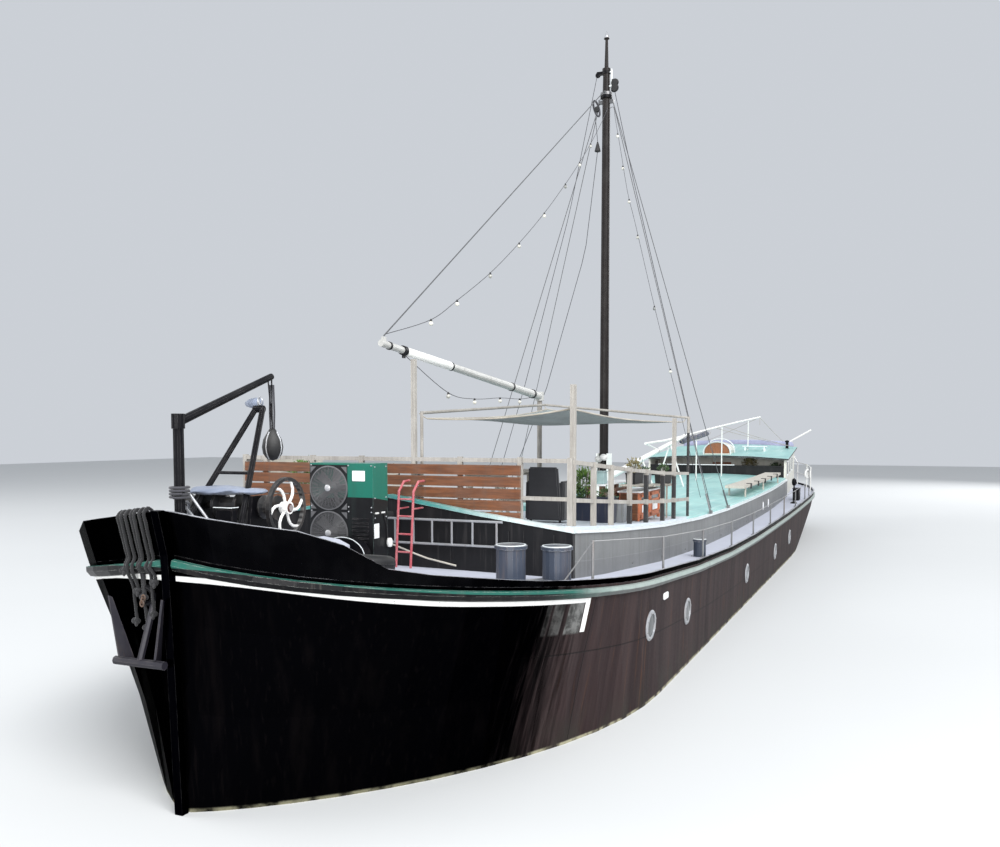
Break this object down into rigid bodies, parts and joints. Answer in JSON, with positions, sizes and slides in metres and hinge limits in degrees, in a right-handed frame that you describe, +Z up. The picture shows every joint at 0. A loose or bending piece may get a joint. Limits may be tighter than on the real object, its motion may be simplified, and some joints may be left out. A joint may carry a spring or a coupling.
{
  "type": "houseboat",
  "caption": "Converted motor barge houseboat: black round-bowed hull, long roofed hold with terrace and awning, mast, boom, windlass and after house.",
  "frame": {"origin": "on the waterline amidships on the centreline: Z = 0 is the water surface the hull floats in", "axes": "+X to the bow, +Y to port, +Z up"},
  "size_m": [33.932, 6.5076, 13.16],
  "materials": {
    "hull_black": "gloss black hull paint",
    "strake_green": "weathered green paint",
    "steel_black": "black deck paint",
    "coaming_grey": "satin grey paint",
    "cap_white": "white paint",
    "roof_aqua": "pale aqua paint",
    "deck_pale": "pale lavender grey deck paint",
    "timber_grey": "weathered grey timber",
    "cedar": "oiled red brown boards",
    "spar_white": "white paint",
    "unit_green": "green enamel",
    "fan_grey": "grey moulded",
    "ladder_red": "faded red paint",
    "cloth_grey": "grey green canvas",
    "cream_wall": "cream paint",
    "drum_blue": "dark blue paint",
    "varnish": "varnished wood",
    "bronze": "cast bronze",
    "rust": "rusted galvanising"
  },
  "bodies": {
    "vessel": {"hull": "hull_black", "bulwark": "hull_black", "rub_strake": "strake_green", "stem_bar": "hull_black", "skeg_and_stern_post": "hull_black", "anchor": "rust", "king_post": "steel_black", "davit_a_frame": "steel_black", "windlass_frame": "steel_black", "fore_hatch_frame": "steel_black", "heat_pump_casing": "unit_green", "ladder": "ladder_red", "trunk_front_wall": "steel_black", "front_wall_capping": "roof_aqua", "front_wall_rack": "spar_white", "coaming_port": "coaming_grey", "coaming_starboard": "coaming_grey", "coaming_capping_port": "cap_white", "coaming_capping_starboard": "cap_white", "terrace_floor": "deck_pale", "hatch_roof": "roof_aqua", "terrace_railing": "timber_grey", "windbreak_boards": "cedar", "awning_frame": "spar_white", "awning_cloth": "cloth_grey", "boom_post": "steel_black", "mast": "steel_black", "mast_case": "steel_black", "shrouds_port": "steel_black", "shrouds_starboard": "steel_black", "side_rail_port": "steel_black", "side_rail_starboard": "steel_black", "pushpit": "spar_white", "ridge_spar": "spar_white", "bollard_pair_port": "drum_blue", "bollard_pair_starboard": "drum_blue", "bollard_single_port": "drum_blue", "bollard_single_starboard": "drum_blue", "gangplank": "coaming_grey", "house_wall_port": "cream_wall", "house_wall_starboard": "cream_wall", "house_wall_front": "cream_wall", "house_wall_back": "cream_wall", "house_roof": "roof_aqua", "porch_wall": "steel_black", "companion_hood": "cap_white", "helm_pedestal": "varnish"},
    "propeller": {"propeller": "bronze"},
    "rudder": {"rudder": "hull_black"},
    "windlass_rotor": {"windlass_flywheel": "steel_black"},
    "fore_hatch_lid": {"fore_hatch_lid": "deck_pale"},
    "davit_spar": {"davit_spar": "steel_black"},
    "upper_fan": {"heat_pump_fan_upper": "fan_grey"},
    "lower_fan": {"heat_pump_fan_lower": "fan_grey"},
    "boom": {"boom": "spar_white"},
    "boom_lift": {"boom_lift": "steel_black"},
    "front_door": {"house_door_front": "varnish"},
    "back_door": {"house_door_back": "varnish"},
    "companion_door": {"companion_door": "varnish"},
    "helm_wheel": {"helm_wheel": "varnish"}
  },
  "joints": [
    {"name": "propeller_turn", "type": "hinge", "parent": "vessel", "child": "propeller", "pos_m": [-13.97, 0, -0.52], "axis": [1, 0, 0], "continuous": true},
    {"name": "rudder_turn", "type": "hinge", "parent": "vessel", "child": "rudder", "pos_m": [-14.5, 0, 0], "axis": [0, 0, 1], "range_deg": [-38, 38]},
    {"name": "helm_turn", "type": "hinge", "parent": "vessel", "child": "helm_wheel", "pos_m": [-15.35, 0, 2.48], "axis": [1, 0, 0], "continuous": true},
    {"name": "windlass_turn", "type": "hinge", "parent": "vessel", "child": "windlass_rotor", "pos_m": [15.89, 0, 2.87], "axis": [0, 1, 0], "continuous": true},
    {"name": "fore_hatch_hinge", "type": "hinge", "parent": "vessel", "child": "fore_hatch_lid", "pos_m": [14.53, 0.18, 2.3103], "axis": [0, -1, 0], "range_deg": [0, 95]},
    {"name": "davit_slew", "type": "hinge", "parent": "vessel", "child": "davit_spar", "pos_m": [16.63, 0, 3.64], "axis": [0, 0, 1], "range_deg": [-70, 70]},
    {"name": "upper_fan_turn", "type": "hinge", "parent": "vessel", "child": "upper_fan", "pos_m": [14.05, 0.01, 2.96], "axis": [1, 0, 0], "continuous": true},
    {"name": "lower_fan_turn", "type": "hinge", "parent": "vessel", "child": "lower_fan", "pos_m": [14.05, 0.01, 2.43], "axis": [1, 0, 0], "continuous": true},
    {"name": "boom_slew", "type": "hinge", "parent": "vessel", "child": "boom", "pos_m": [7.25, 0, 4.19], "axis": [0, 0, 1], "range_deg": [-25, 25]},
    {"name": "boom_lift_swing", "type": "hinge", "parent": "vessel", "child": "boom_lift", "pos_m": [3.25, 0, 10.9], "axis": [0, 0, 1], "range_deg": [-15, 15]},
    {"name": "front_door_hinge", "type": "hinge", "parent": "vessel", "child": "front_door", "pos_m": [-11.22, 0.303, 1.57], "axis": [0, 0, 1], "range_deg": [0, 100]},
    {"name": "back_door_hinge", "type": "hinge", "parent": "vessel", "child": "back_door", "pos_m": [-14.12, 0.303, 1.65], "axis": [0, 0, -1], "range_deg": [0, 100]},
    {"name": "companion_door_hinge", "type": "hinge", "parent": "vessel", "child": "companion_door", "pos_m": [-10.232, -0.42, 2.88], "axis": [0, 0, -1], "range_deg": [0, 100]}
  ],
  "couplings": [
    {"joint": "boom_lift_swing", "follows": "boom_slew", "ratio": 0.588}
  ]
}
